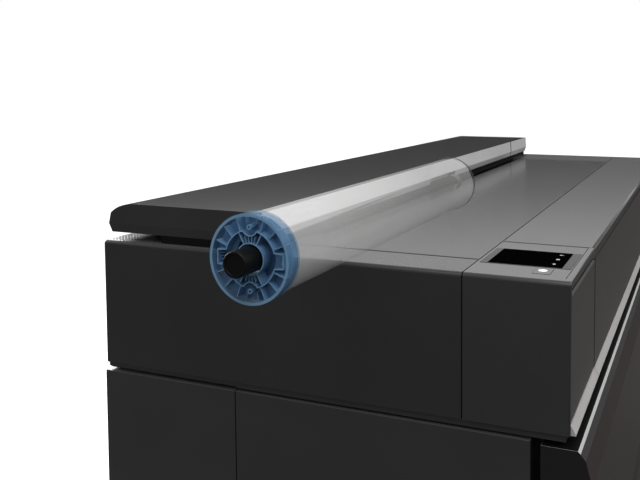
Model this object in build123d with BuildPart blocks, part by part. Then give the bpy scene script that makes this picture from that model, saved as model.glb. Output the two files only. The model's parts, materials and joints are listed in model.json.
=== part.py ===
from build123d import *
import os

os.makedirs("parts", exist_ok=True)

# A free-standing large format plotter with a flat top, a scanner along the rear of that top,
# two roll drawers below, and a loaded spindle resting on the deck with one end overhanging.
# Places are given as three distances: along from the left end, forward from the rear face,
# and up from the floor.  The functions below turn them into the row's own frame.

# ---------------------------------------------------------------- driving dimensions (mm)
LENGTH = 1960.0            # left end to right end
DEPTH = 890.0              # rear face to front face of the upper body
DECK = 1100.0              # height of the flat top
UPPER_HEIGHT = 235.0       # upper body, from the deck down to its lower edge
OVERHANG = 288.0           # how far the resting spindle reaches past the left end
DRAWER_OUT = 35.0          # how far the drawer fronts stand in front of the upper body

WALL = 4.0                 # thickness of the casings
SEAM = 2.0                 # open joint between two covers
CORNER_R = 7.0             # rounding along the top edges of the casings
AIR = 0.3                  # gap between pieces that move past each other
RUN = 0.05                 # radial clearance of a shaft in its bearing

LID_BACK = 718.0           # seam between the fixed deck and the front access cover
MODULE_W = 243.5           # seam between the left corner module and the access cover
END_CAP_L = 90.0           # left end cover reaches this far over the top
END_CAP_R = 1748.5         # right end cover starts here
SLOT_BACK = 349.0          # output slot behind the deck, rear and front edges
SLOT_FRONT = 371.0
SLOT_X = (187.0, 1700.0)

UPPER_FLOOR = DECK - UPPER_HEIGHT
LOWER_TOP = UPPER_FLOOR - 16.0
PLINTH_BOTTOM = 70.0       # cabinet panels stop this far above the floor

SCAN_INSET = 9.0           # scanner stands in from both ends of the body
SCAN_BACK = 7.0
SCAN_FRONT = 349.0
SCAN_BOTTOM = DECK + 14.0
SCAN_CREASE = DECK + 31.0
SCAN_TOP = DECK + 70.0
SCAN_SPLIT = 1702.0        # groove between the scanner cover and its end cap
SCAN_LEAN = 4.0            # its sides lean in by this much below the crease
SCAN_AXIS = (32.0, DECK + 20.0)

COVER_AXIS = (725.5, DECK - 4.0)
RIM = 10.0                 # height of the rounded rim along the top of the front
RIM_GAP = (DECK - 20.0, DECK - RIM)
RIM_GAP_BACK = DEPTH - 6.0
HUB_R = 61.5
ROLL_BACK = 507.0          # the resting roll's axis, from the rear face
ROLL_AXIS = DECK + HUB_R + AIR
SPINDLE_R = 18.0
CORE_R = 39.0
PAPER_R = 58.5
HUB_X = (-257.0, -229.0)
FLANGE_X = (534.0, 541.0)

UPPER_TRAY = 500.0         # floors of the two roll drawers
LOWER_TRAY = 130.0
SPOOL_S = 480.0
SPOOL_RISE = 125.0
SPOOL_PAPER_R = 85.0
SPOOL_X = (395.0, 1565.0)
SPOOL_PAPER_X = (473.0, 1487.0)

FEED_R = 14.0
PINCH_R = 8.0
FEED_S = 830.0
FEED_Z = 915.0
PULLEY_R = 12.0
BELT_T = 1.4
BELT_S = 668.0
BELT_Z = 1071.0
PULLEY_X = (285.0, 1711.0)
ROD_R = 10.0
ROD_S = 700.0
ROD_Z = 990.0

CASTER_X = (90.0, 1870.0)
CASTER_S = (60.0, 780.0)
CASTER_R = 28.0
CASTER_Z = CASTER_R + 2.5  # the wheels stand clear once the levelling feet carry the load
CASTER_TRAIL = 25.0
FOOT_X = (220.0, 1740.0)

X_LEFT = -(LENGTH - OVERHANG) / 2
Y_REAR = (DEPTH + DRAWER_OUT) / 2


# ---------------------------------------------------------------- small shared shapes
def spot(along, forward, up):
    """The point of the row frame that lies at these three distances."""
    return (X_LEFT + along, Y_REAR - forward, up)


def block(along, forward, up, mode=Mode.ADD):
    """A box between two distances along, two forward from the rear and two heights."""
    middle = spot(sum(along) / 2, sum(forward) / 2, sum(up) / 2)
    with Locations(middle):
        Box(along[1] - along[0], forward[1] - forward[0], up[1] - up[0], mode=mode)


def rod(along, forward, up, radius, mode=Mode.ADD):
    """A round bar along the length of the machine."""
    with Locations(spot(sum(along) / 2, forward, up)):
        Cylinder(radius, along[1] - along[0], rotation=(0, 90, 0), mode=mode)


def post(along, forward, up, radius, mode=Mode.ADD):
    """An upright round bar between two heights."""
    with Locations(spot(along, forward, sum(up) / 2)):
        Cylinder(radius, up[1] - up[0], mode=mode)


def cross_rod(along, forward, up, radius, mode=Mode.ADD):
    """A round bar that runs from rear to front."""
    with Locations(spot(along, sum(forward) / 2, up)):
        Cylinder(radius, forward[1] - forward[0], rotation=(90, 0, 0), mode=mode)


def bar(outline, along, mode=Mode.ADD):
    """A straight bar along the length with a closed outline of (forward, up) points."""
    with BuildSketch(Plane.YZ.offset(X_LEFT + along[0])) as section:
        with BuildLine():
            Polyline([(Y_REAR - forward, up) for forward, up in outline], close=True)
        make_face()
    extrude(section.sketch, amount=along[1] - along[0], mode=mode)


def slab(outline, forward, mode=Mode.ADD):
    """A straight bar from rear to front with a closed outline of (along, up) points."""
    with BuildSketch(Plane.XZ.offset(forward[0] - Y_REAR)) as section:
        with BuildLine():
            Polyline([(X_LEFT + along, up) for along, up in outline], close=True)
        make_face()
    extrude(section.sketch, amount=forward[1] - forward[0], mode=mode)


def edges_near(part, point, axis, reach=1.0):
    """The edges along one axis whose middle is level with a point in the other two axes."""
    target = Vector(*spot(*point))
    keep = []
    for edge in part.edges().filter_by(axis):
        gap = edge.center() - target
        gap = [0 if axis == line else value for line, value in
               zip((Axis.X, Axis.Y, Axis.Z), (gap.X, gap.Y, gap.Z))]
        if max(abs(value) for value in gap) < reach:
            keep.append(edge)
    return keep


def save(piece, name):
    """Label a finished piece and write it to its own file."""
    piece.part.label = name
    export_step(piece.part, f"parts/{name}.step")


# ---------------------------------------------------------------- chassis
RAIL = 40.0
SIDE_X = ((20.0, 60.0), (1900.0, 1940.0))
SIDE_S = ((40.0, 80.0), (760.0, 800.0))
BASE_Z = (75.0, 115.0)
TOP_Z = (813.0, 853.0)
TUBE = 3.0                 # wall of the square tubes
WELD = 0.5


def tube(along, forward, up, run):
    """A square tube with open ends; run says which of the three spans is its length."""
    block(along, forward, up)
    spans = [(low + TUBE, high - TUBE) for low, high in (along, forward, up)]
    low, high = (along, forward, up)[run]
    spans[run] = (low - 1, high + 1)
    block(*spans, mode=Mode.SUBTRACT)


with BuildPart() as chassis_frame:
    for level in (BASE_Z, TOP_Z):
        for depth in SIDE_S:
            tube((SIDE_X[0][0], SIDE_X[1][1]), depth, level, 0)
        for width in (SIDE_X[0], (960.0, 1000.0), SIDE_X[1]):
            tube(width, (SIDE_S[0][1] + WELD, SIDE_S[1][0] - WELD), level, 1)
    for width in SIDE_X:
        for depth in SIDE_S:
            tube(width, depth, (BASE_Z[1] + WELD, TOP_Z[0] - WELD), 2)
save(chassis_frame, "chassis_frame")

with BuildPart() as leveling_feet:
    for along in FOOT_X:
        for forward in CASTER_S:
            post(along, forward, (0, 10), 26)
            post(along, forward, (10, BASE_Z[0]), 8)
            post(along, forward, (BASE_Z[0] - 14, BASE_Z[0] - 4), 14)
save(leveling_feet, "leveling_feet")

with BuildPart() as rear_caster_forks:
    for along in CASTER_X:
        for side in (-1, 1):
            outer = sorted((along + side * 14.5, along + side * 18.0))
            block(outer, (CASTER_S[0] - 14, CASTER_S[0] + 14), (18, BASE_Z[0] - 4))
        block((along - 18, along + 18), (CASTER_S[0] - 30, CASTER_S[0] + 30), (BASE_Z[0] - 4, BASE_Z[0]))
        rod((along - 18, along + 18), CASTER_S[0], CASTER_Z, 4)
save(rear_caster_forks, "rear_caster_forks")


def caster_wheel(along, forward):
    """A wheel with a soft tread, bored for its axle."""
    rod((along - 12, along + 12), forward, CASTER_Z, CASTER_R)
    rod((along - 14, along + 14), forward, CASTER_Z, 9)
    rod((along - 15, along + 15), forward, CASTER_Z, 4 + RUN, mode=Mode.SUBTRACT)


for side_name, along in zip(("left", "right"), CASTER_X):
    with BuildPart() as front_fork:
        for side in (-1, 1):
            outer = sorted((along + side * 14.5, along + side * 18.0))
            block(outer, (CASTER_S[1] - 12, CASTER_S[1] + CASTER_TRAIL + 12), (18, 66))
        block((along - 18, along + 18), (CASTER_S[1] - 24, CASTER_S[1] + CASTER_TRAIL + 12), (62, 70))
        post(along, CASTER_S[1], (70, BASE_Z[0] - AIR), 16)
        rod((along - 18, along + 18), CASTER_S[1] + CASTER_TRAIL, CASTER_Z, 4)
    save(front_fork, f"front_{side_name}_caster_fork")
    with BuildPart() as front_wheel:
        caster_wheel(along, CASTER_S[1] + CASTER_TRAIL)
    save(front_wheel, f"front_{side_name}_caster_wheel")
    with BuildPart() as rear_wheel:
        caster_wheel(along, CASTER_S[0])
    save(rear_wheel, f"rear_{side_name}_caster_wheel")

# ---------------------------------------------------------------- cabinet panels
PANEL_T = 18.0             # depth of the folded edges of a cabinet panel
SHEET = 3.0
PANEL_SPLIT = 293.0        # seam between the rear and the side panel of each end
SIDE_FRONT = 829.0         # side panels stop here, and a shadow gap follows


def end_panel(outer, inner, depth):
    """A folded sheet that closes part of one end, hollow towards the frame."""
    block(sorted((outer, inner)), depth, (PLINTH_BOTTOM, LOWER_TOP))
    skin = outer + SHEET * (1 if inner > outer else -1)
    beyond = inner + (1 if inner > outer else -1)
    block(sorted((skin, beyond)), (depth[0] + SHEET, depth[1] - SHEET),
          (PLINTH_BOTTOM + SHEET, LOWER_TOP - SHEET), mode=Mode.SUBTRACT)


REAR_RANGE = (0.0, PANEL_SPLIT - SEAM / 2)
SIDE_RANGE = (PANEL_SPLIT + SEAM / 2, SIDE_FRONT)

with BuildPart() as left_rear_panel:
    end_panel(0, PANEL_T, REAR_RANGE)
save(left_rear_panel, "left_rear_panel")

with BuildPart() as left_side_panel:
    end_panel(0, PANEL_T, SIDE_RANGE)
save(left_side_panel, "left_side_panel")

with BuildPart() as right_side_panel:
    end_panel(LENGTH, LENGTH - PANEL_T, (0.0, SIDE_FRONT))
save(right_side_panel, "right_side_panel")

INLET = (1700.0, 1752.0)
INLET_Z = (300.0, 336.0)

with BuildPart() as back_panel:
    block((PANEL_T + 1, LENGTH - PANEL_T - 1), (1, PANEL_T), (PLINTH_BOTTOM, LOWER_TOP))
    block((PANEL_T + 1 + SHEET, LENGTH - PANEL_T - 1 - SHEET), (1 + SHEET, PANEL_T + 1),
          (PLINTH_BOTTOM + SHEET, LOWER_TOP - SHEET), mode=Mode.SUBTRACT)
    block(INLET, (0, 10), INLET_Z, mode=Mode.SUBTRACT)
    for row in range(9):
        level = 620 + row * 14
        for start in (300, 560, 820):
            block((start, start + 220), (0, 10), (level, level + 6), mode=Mode.SUBTRACT)
save(back_panel, "back_panel")

with BuildPart() as power_inlet:
    block((INLET[0] + 0.5, INLET[1] - 0.5), (1, 34), (INLET_Z[0] + 0.5, INLET_Z[1] - 0.5))
    block((INLET[0] + 12, INLET[1] - 12), (0, 22), (INLET_Z[0] + 8, INLET_Z[1] - 8), mode=Mode.SUBTRACT)
    for shift in (-7, 0, 7):
        block((1725 + shift, 1727 + shift), (8, 24), (315, 321))
save(power_inlet, "power_inlet")

with BuildPart() as electronics_box:
    block((300, 900), (24, 124), (180, 560))
    block((302, 898), (26, 116), (182, 558), mode=Mode.SUBTRACT)
    for row in range(6):
        level = 230 + row * 50
        block((340, 860), (120, 130), (level, level + 20), mode=Mode.SUBTRACT)
save(electronics_box, "electronics_box")

# ---------------------------------------------------------------- drawer slides
SLIDE_L = (61.0, 75.0)
SLIDE_R = (LENGTH - 75.0, LENGTH - 61.0)
SLIDE_S = (90.0, 798.0)

with BuildPart() as drawer_slides:
    for floor in (UPPER_TRAY, LOWER_TRAY):
        for span in (SLIDE_L, SLIDE_R):
            block(span, SLIDE_S, (floor + 60, floor + 100))
save(drawer_slides, "drawer_slides")

# ---------------------------------------------------------------- drawers
FASCIA_BACK = 845.0
FASCIA_FRONT = DEPTH + DRAWER_OUT
FASCIA_TOP_FRONT = DEPTH + 15.0
FASCIA_SLOPE = 55.0
FASCIA_EDGE = 4.0          # bevel along the top front edge
GROOVES = ((90.0, 92.5), (LENGTH - 92.5, LENGTH - 90.0))
GROOVE_DEPTH = 1.5
UPPER_FASCIA = (466.0, LOWER_TOP - 4.0)
LOWER_FASCIA = (90.0, 463.0)
TRAY_X = (84.0, LENGTH - 84.0)
TRAY_S = (140.0, 920.0)
TRAY_WALL = 150.0
CRADLE_X = ((374.0, 392.0), (1568.0, 1586.0))
JOURNAL_R = 12.0


def fascia_outline(low, high, inset):
    """Drawer front seen from the end: upright, leaning back over its top part."""
    return [(FASCIA_BACK, low + inset), (FASCIA_FRONT - inset, low + inset),
            (FASCIA_FRONT - inset, high - FASCIA_SLOPE),
            (FASCIA_TOP_FRONT + 9 - inset, high - FASCIA_SLOPE / 4),
            (FASCIA_TOP_FRONT + 1 - inset, high - FASCIA_EDGE - inset / 2),
            (FASCIA_TOP_FRONT + 1 - FASCIA_EDGE - inset / 2, high - inset), (FASCIA_BACK, high - inset)]


def fascia(low, high):
    """A hollow drawer front as wide as the machine, open at the back."""
    bar(fascia_outline(low, high, 0), (0, LENGTH))
    hollow = [(forward if forward > FASCIA_BACK else FASCIA_BACK - 1, up)
              for forward, up in fascia_outline(low, high, WALL)]
    bar(hollow, (WALL, LENGTH - WALL), mode=Mode.SUBTRACT)
    for groove in GROOVES:
        with BuildPart(mode=Mode.SUBTRACT):
            bar(fascia_outline(low - 1, high + 1, -1), groove)
            bar(fascia_outline(low, high, GROOVE_DEPTH), groove, mode=Mode.SUBTRACT)


def tray(floor):
    """Floor plate, side plates, slide members and spindle cradles of one roll drawer."""
    block(TRAY_X, TRAY_S, (floor, floor + SHEET))
    for inner, outer in (((TRAY_X[0], TRAY_X[0] + SHEET), (76.0, TRAY_X[0] - WELD)),
                         ((TRAY_X[1] - SHEET, TRAY_X[1]), (TRAY_X[1] + WELD, LENGTH - 76.0))):
        block(inner, TRAY_S, (floor + SHEET + WELD, floor + TRAY_WALL))
        block(outer, (100, 838), (floor + 65, floor + 95))
    for span in CRADLE_X:
        block(span, (SPOOL_S - 45, SPOOL_S + 45), (floor + SHEET + WELD, floor + SPOOL_RISE))
        rod(span, SPOOL_S, floor + SPOOL_RISE, JOURNAL_R + RUN, mode=Mode.SUBTRACT)


for level, low_high, floor in (("upper", UPPER_FASCIA, UPPER_TRAY), ("lower", LOWER_FASCIA, LOWER_TRAY)):
    with BuildPart() as drawer_front:
        fascia(*low_high)
    save(drawer_front, f"{level}_drawer_front")
    with BuildPart() as drawer_tray:
        tray(floor)
    save(drawer_tray, f"{level}_drawer_tray")

SPOOL_Z = LOWER_TRAY + SPOOL_RISE
with BuildPart() as lower_spindle:
    rod(SPOOL_X, SPOOL_S, SPOOL_Z, SPINDLE_R)
    rod((CRADLE_X[0][0], CRADLE_X[1][1]), SPOOL_S, SPOOL_Z, JOURNAL_R)
    rod((SPOOL_PAPER_X[0] - 28, SPOOL_PAPER_X[0]), SPOOL_S, SPOOL_Z, HUB_R)
    rod((SPOOL_PAPER_X[1], SPOOL_PAPER_X[1] + 7), SPOOL_S, SPOOL_Z, HUB_R)
save(lower_spindle, "lower_spindle")

with BuildPart() as lower_paper_roll:
    rod(SPOOL_PAPER_X, SPOOL_S, SPOOL_Z, SPOOL_PAPER_R)
    rod(SPOOL_PAPER_X, SPOOL_S, SPOOL_Z, CORE_R, mode=Mode.SUBTRACT)
save(lower_paper_roll, "lower_paper_roll")

# ---------------------------------------------------------------- upper body casings
PAN_INSET = 4.5

with BuildPart() as floor_pan:
    block((PAN_INSET, LENGTH - PAN_INSET), (PAN_INSET, 883), (LOWER_TOP + 4, UPPER_FLOOR))
    block((PAN_INSET + WALL, LENGTH - PAN_INSET - WALL), (PAN_INSET + WALL, 879),
          (LOWER_TOP + 8, UPPER_FLOOR + 1), mode=Mode.SUBTRACT)
    for span in ((0, 8), (LENGTH - 8, LENGTH)):
        block(span, (0, PANEL_SPLIT), (LOWER_TOP, LOWER_TOP + 7), mode=Mode.SUBTRACT)
save(floor_pan, "floor_pan")

DECK_RANGE = (UPPER_FLOOR, DECK)
CAP_S = (0.0, LID_BACK - SEAM / 2)
CHIP = 3.0                 # bevel along the lower rear edge


def end_cap(outer, inner):
    """End cover that wraps round the rear and over the top, open towards the machine."""
    block(sorted((outer, inner)), CAP_S, DECK_RANGE)
    part = BuildPart._get_context()
    corner = (outer, 0, DECK)
    fillet(edges_near(part, corner, Axis.Y) + edges_near(part, corner, Axis.Z) + edges_near(part, corner, Axis.X),
           CORNER_R)
    bar([(-1, UPPER_FLOOR - 1), (CHIP, UPPER_FLOOR - 1), (CHIP, UPPER_FLOOR), (0, UPPER_FLOOR + CHIP),
         (-1, UPPER_FLOOR + CHIP)], (-1, LENGTH + 1), mode=Mode.SUBTRACT)
    direction = 1 if inner > outer else -1
    block(sorted((outer + WALL * direction, inner + direction)), (WALL, CAP_S[1] + 1),
          (UPPER_FLOOR - 1, DECK - WALL), mode=Mode.SUBTRACT)


with BuildPart() as left_end_cover:
    end_cap(0, END_CAP_L - SEAM / 2)
save(left_end_cover, "left_end_cover")

with BuildPart() as right_end_cover:
    end_cap(LENGTH, END_CAP_R + SEAM / 2)
save(right_end_cover, "right_end_cover")

DECK_X = (END_CAP_L + SEAM / 2, END_CAP_R - SEAM / 2)

with BuildPart() as rear_cover:
    block(DECK_X, (1, WALL + 1), (UPPER_FLOOR, DECK - WALL - 0.5))
    for row in range(6):
        level = 960 + row * 16
        for start in (400, 700, 1200):
            block((start, start + 240), (0, WALL + 2), (level, level + 7), mode=Mode.SUBTRACT)
save(rear_cover, "rear_cover")

with BuildPart() as top_deck:
    block(DECK_X, (SLOT_FRONT, LID_BACK - SEAM / 2), (DECK - WALL, DECK))
    for span in ((DECK_X[0], SLOT_X[0]), (SLOT_X[1], DECK_X[1])):
        block(span, (SLOT_BACK + SEAM, SLOT_FRONT), (DECK - WALL, DECK))
    for along in (400, 800, 1200, 1600):
        block((along, along + WALL), (SLOT_FRONT + 6, LID_BACK - 6), (DECK - 14, DECK - WALL))
save(top_deck, "top_deck")

# ---------------------------------------------------------------- left corner module
MODULE_X = (0.0, MODULE_W - SEAM / 2)
MODULE_S = (LID_BACK + SEAM / 2, DEPTH)
DOOR_Z = (883.0, 1080.0)
DOOR_X = (6.5, MODULE_X[1] - 1.5)
DOOR_S = (881.0, 889.5)
DOOR_PIN = (11.5, 885.0)
SILL_TOP = 880.0
SILL_START = WALL + 0.5    # the sill butts against the module's side
BEZEL_X = (75.0, 184.0)
BEZEL_S = (724.0, 875.0)
GLASS_X = (76.5, 182.0)
GLASS_S = (737.0, 861.0)
KEY_X = (33.5, 68.5)
KEY_S = (822.0, 850.0)
FRONT_R = 2.5              # rounding of the module's front edges

with BuildPart() as corner_housing:
    block(MODULE_X, MODULE_S, DECK_RANGE)
    fillet(edges_near(corner_housing, (0, DEPTH, DECK), Axis.Y), CORNER_R)
    front_edges = corner_housing.faces().sort_by(Axis.Y)[0].edges()
    fillet(front_edges.filter_by(lambda edge: edge.center().Z > UPPER_FLOOR + 1
                                 and edge.center().X < X_LEFT + MODULE_X[1] - 1), FRONT_R)
    block((WALL, MODULE_X[1] - WALL), (MODULE_S[0] - 1, DEPTH - WALL), (UPPER_FLOOR - 1, DECK - WALL),
          mode=Mode.SUBTRACT)
    block((WALL, MODULE_X[1] + 1), (DEPTH - WALL - 10, DEPTH + 1), (UPPER_FLOOR - 1, DECK - RIM),
          mode=Mode.SUBTRACT)
    block((WALL, MODULE_W), (874.5, DEPTH), (UPPER_FLOOR - 1, SILL_TOP + 0.5), mode=Mode.SUBTRACT)
    block((WALL, 20), (879, DEPTH - WALL), (DECK - RIM, DECK - WALL))
    rod((MODULE_X[1] - WALL - 1, MODULE_X[1] + 1), *COVER_AXIS, 2.5, mode=Mode.SUBTRACT)
    post(*DOOR_PIN, (DECK - RIM - 1, DECK - WALL - 1), 2.0, mode=Mode.SUBTRACT)
    block((BEZEL_X[0] - 0.5, BEZEL_X[1] + 0.5), (BEZEL_S[0] - 0.5, BEZEL_S[1] + 0.5),
          (DECK - WALL - 1, DECK + 1), mode=Mode.SUBTRACT)
    block((KEY_X[0] - 0.6, KEY_X[1] + 0.6), (KEY_S[0] - 0.6, KEY_S[1] + 0.6),
          (DECK - WALL - 1, DECK + 1), mode=Mode.SUBTRACT)
    block((18, MODULE_X[1] + 1), (877.4, 878.8), (DECK - 1.2, DECK + 1), mode=Mode.SUBTRACT)
save(corner_housing, "corner_housing")

with BuildPart() as display_bezel:
    block(BEZEL_X, BEZEL_S, (DECK - 14, DECK + 0.6))
    block(GLASS_X, GLASS_S, (DECK - 3, DECK + 1), mode=Mode.SUBTRACT)
save(display_bezel, "display_bezel")

with BuildPart() as display_glass:
    block((GLASS_X[0] + 0.1, GLASS_X[1] - 0.1), (GLASS_S[0] + 0.1, GLASS_S[1] - 0.1),
          (DECK - 3, DECK + 0.9))
    fillet(display_glass.edges().filter_by(Axis.Z), 3)
save(display_glass, "display_glass")

with BuildPart() as power_button:
    block(KEY_X, KEY_S, (DECK - 6, DECK + 0.4))
    block((KEY_X[0] - 2, KEY_X[1] + 2), (KEY_S[0] - 2, KEY_S[1] + 2), (DECK - 9, DECK - WALL - 1))
save(power_button, "power_button")

with BuildPart() as ink_door:
    block(DOOR_X, DOOR_S, DOOR_Z)
    chamfer(edges_near(ink_door, (sum(DOOR_X) / 2, DOOR_S[1], DOOR_Z[1]), Axis.X), 3)
    block((DOOR_X[0] + 14, DOOR_X[1] - 3), (DOOR_S[0] - 1, DOOR_S[1] - 3), (DOOR_Z[0] + 3, DOOR_Z[1] - 3),
          mode=Mode.SUBTRACT)
    post(*DOOR_PIN, (DOOR_Z[0] - 1, DOOR_Z[0] + 13), 2.0 + RUN, mode=Mode.SUBTRACT)
    post(*DOOR_PIN, (DOOR_Z[1] - 13, DOOR_Z[1] + 1), 2.0 + RUN, mode=Mode.SUBTRACT)
save(ink_door, "ink_door")

with BuildPart() as front_sill:
    bar([(883.5, UPPER_FLOOR), (898, UPPER_FLOOR), (898, UPPER_FLOOR + 2), (890.5, SILL_TOP),
         (875, SILL_TOP), (875, SILL_TOP - 3), (883.5, SILL_TOP - 3)], (SILL_START, LENGTH))
    block((SILL_START, 22), (875, 883.5), (UPPER_FLOOR, SILL_TOP - 3))
    block((MODULE_W - 1, MODULE_W + 1), (886, 900), (UPPER_FLOOR - 1, SILL_TOP + 1), mode=Mode.SUBTRACT)
    post(*DOOR_PIN, (UPPER_FLOOR + 5, SILL_TOP + 1), 2.0, mode=Mode.SUBTRACT)
save(front_sill, "front_sill")

# ---------------------------------------------------------------- ink supply behind the door
BAY_X = (22.0, 228.0)
BAY_S = (600.0, 866.0)
BAY_Z = (884.0, 1066.0)
INKS = 4
PITCH = (BAY_X[1] - BAY_X[0] - WALL) / INKS

with BuildPart() as ink_bay:
    block(BAY_X, BAY_S, (BAY_Z[0], BAY_Z[0] + WALL))
    block(BAY_X, (BAY_S[0], BAY_S[0] + WALL), BAY_Z)
    for wall in range(INKS + 1):
        start = BAY_X[0] + wall * PITCH
        block((start, start + WALL), BAY_S, BAY_Z)
save(ink_bay, "ink_bay")

for number in range(INKS):
    start = BAY_X[0] + WALL + number * PITCH
    with BuildPart() as cartridge:
        block((start + 1, start + PITCH - WALL - 1), (BAY_S[0] + 12, 860), (BAY_Z[0] + WALL + 1, 1056))
        fillet(cartridge.edges().filter_by(Axis.Y), 4)
        block((start + 14, start + PITCH - WALL - 14), (860, 868), (940, 990))
    save(cartridge, f"ink_cartridge_{number + 1}")

# ---------------------------------------------------------------- front access cover


def rim_groove(along):
    """A finger groove under the top rim, backed on the inside."""
    block(along, (RIM_GAP_BACK - 4, DEPTH - WALL), (RIM_GAP[0] - 4, DECK - WALL))
    block((along[0] - 1, along[1] + 1), (RIM_GAP_BACK, DEPTH + 1), RIM_GAP, mode=Mode.SUBTRACT)


COVER_X = (MODULE_W + SEAM / 2, END_CAP_R - SEAM / 2)

with BuildPart() as access_cover:
    block(COVER_X, MODULE_S, (SILL_TOP + 1, DECK))
    fillet(edges_near(access_cover, (sum(COVER_X) / 2, DEPTH, DECK), Axis.X), CORNER_R)
    block((COVER_X[0] + WALL, COVER_X[1] - WALL), (MODULE_S[0] - 1, DEPTH - WALL), (SILL_TOP, DECK - WALL),
          mode=Mode.SUBTRACT)
    rim_groove(COVER_X)
    rod((COVER_X[0] - 1, COVER_X[0] + WALL + 1), *COVER_AXIS, 2.5 + RUN, mode=Mode.SUBTRACT)
    rod((COVER_X[1] - WALL - 1, COVER_X[1] + 1), *COVER_AXIS, 2.5 + RUN, mode=Mode.SUBTRACT)
save(access_cover, "access_cover")

HOUSING_R_X = (END_CAP_R + SEAM / 2, LENGTH)

with BuildPart() as right_corner_housing:
    block(HOUSING_R_X, MODULE_S, (SILL_TOP + 1, DECK))
    fillet(edges_near(right_corner_housing, (LENGTH, 804, DECK), Axis.Y, 8.0), CORNER_R)
    fillet(edges_near(right_corner_housing, (1855, DEPTH, DECK), Axis.X, 8.0), CORNER_R)
    block((HOUSING_R_X[0] + WALL, LENGTH - WALL), (MODULE_S[0] - 1, DEPTH - WALL), (SILL_TOP, DECK - WALL),
          mode=Mode.SUBTRACT)
    rim_groove((HOUSING_R_X[0], LENGTH - WALL))
    rod((HOUSING_R_X[0] - 1, HOUSING_R_X[0] + WALL + 1), *COVER_AXIS, 2.5, mode=Mode.SUBTRACT)
save(right_corner_housing, "right_corner_housing")

# ---------------------------------------------------------------- print mechanism
PLATE_L = (255.0, 261.0)
PLATE_R = (1735.0, 1741.0)
PINCH_Z = FEED_Z + FEED_R + AIR + PINCH_R
ARM_S = (BELT_S - 12.0, BELT_S - 6.0)

with BuildPart() as mechanism_plates:
    for plate, pulley in zip((PLATE_L, PLATE_R), PULLEY_X):
        block(plate, (380, 872), (UPPER_FLOOR + 1, 1086))
        arm = (plate[1], pulley + 10) if pulley < 1000 else (pulley - 10, plate[0])
        block(arm, ARM_S, (BELT_Z - 10, BELT_Z + 10))
        cross_rod(pulley, (ARM_S[0] - 1, ARM_S[1] + 1), BELT_Z, 3 + RUN, mode=Mode.SUBTRACT)
        rod((plate[0] - 1, plate[1] + 1), FEED_S, FEED_Z, 6 + RUN, mode=Mode.SUBTRACT)
        rod((plate[0] - 1, plate[1] + 1), FEED_S, PINCH_Z, 3 + RUN, mode=Mode.SUBTRACT)
        rod((plate[0] - 1, plate[1] + 1), ROD_S, ROD_Z, ROD_R, mode=Mode.SUBTRACT)
        rod((plate[0] - 1, plate[1] + 1), 620, 1030, 8, mode=Mode.SUBTRACT)
save(mechanism_plates, "mechanism_plates")

with BuildPart() as guide_rods:
    rod((PLATE_L[0], PLATE_R[1]), ROD_S, ROD_Z, ROD_R)
    rod((PLATE_L[0], PLATE_R[1]), 620, 1030, 8)
save(guide_rods, "guide_rods")

with BuildPart() as platen:
    block((262, 1590), (560, 808), (926, 940))
    for row in range(5):
        forward = 600 + row * 40
        block((280, 1570), (forward, forward + 6), (938, 941), mode=Mode.SUBTRACT)
save(platen, "platen")

with BuildPart() as service_station:
    block((1600, 1728), (640, 770), (UPPER_FLOOR + 1, 926))
    for cap in range(4):
        start = 1610 + cap * 28
        block((start, start + 20), (690, 740), (926, 932))
save(service_station, "service_station")

with BuildPart() as feed_roller:
    rod((PLATE_L[1] + 9, PLATE_R[0] - 9), FEED_S, FEED_Z, FEED_R)
    rod((PLATE_L[0] - 2, PLATE_R[1] + 1), FEED_S, FEED_Z, 6)
save(feed_roller, "feed_roller")

with BuildPart() as pinch_rollers:
    rod((PLATE_L[0] - 1, PLATE_R[1] + 1), FEED_S, PINCH_Z, 3)
    for number in range(10):
        start = 300 + number * 140
        rod((start, start + 60), FEED_S, PINCH_Z, PINCH_R)
save(pinch_rollers, "pinch_rollers")

CARRIAGE_X = (300.0, 420.0)
with BuildPart() as carriage:
    block(CARRIAGE_X, (648, 776), (956, 1054))
    fillet(carriage.edges().filter_by(Axis.Z), 6)
    block((CARRIAGE_X[0] + 8, CARRIAGE_X[1] - 8), (700, 768), (1030, 1060), mode=Mode.SUBTRACT)
    rod((CARRIAGE_X[0] - 1, CARRIAGE_X[1] + 1), ROD_S, ROD_Z, ROD_R + RUN, mode=Mode.SUBTRACT)
    for slot in range(4):
        start = CARRIAGE_X[0] + 10 + slot * 26
        block((start, start + 22), (722, 766), (955, 1031), mode=Mode.SUBTRACT)
save(carriage, "carriage")

with BuildPart() as printheads:
    for slot in range(4):
        start = CARRIAGE_X[0] + 10 + slot * 26
        block((start + 0.5, start + 21.5), (722.5, 765.5), (946, 1040))
save(printheads, "printheads")

for pulley_name, along in zip(("drive_pulley", "idler_pulley"), PULLEY_X):
    with BuildPart() as pulley:
        cross_rod(along, (BELT_S - 5, BELT_S + 5), BELT_Z, PULLEY_R)
        cross_rod(along, (BELT_S + 5, BELT_S + 7), BELT_Z, PULLEY_R + 3)
        cross_rod(along, (BELT_S - 14, BELT_S - 5), BELT_Z, 3)
    save(pulley, pulley_name)

with BuildPart() as drive_belt:
    inner = PULLEY_R + AIR
    half = BELT_S - 4, BELT_S + 4
    for along in PULLEY_X:
        cross_rod(along, half, BELT_Z, inner + BELT_T)
    block(PULLEY_X, half, (BELT_Z - inner - BELT_T, BELT_Z + inner + BELT_T))
    for along in PULLEY_X:
        cross_rod(along, (half[0] - 1, half[1] + 1), BELT_Z, inner, mode=Mode.SUBTRACT)
    block(PULLEY_X, (half[0] - 1, half[1] + 1), (BELT_Z - inner, BELT_Z + inner), mode=Mode.SUBTRACT)
save(drive_belt, "drive_belt")

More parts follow.
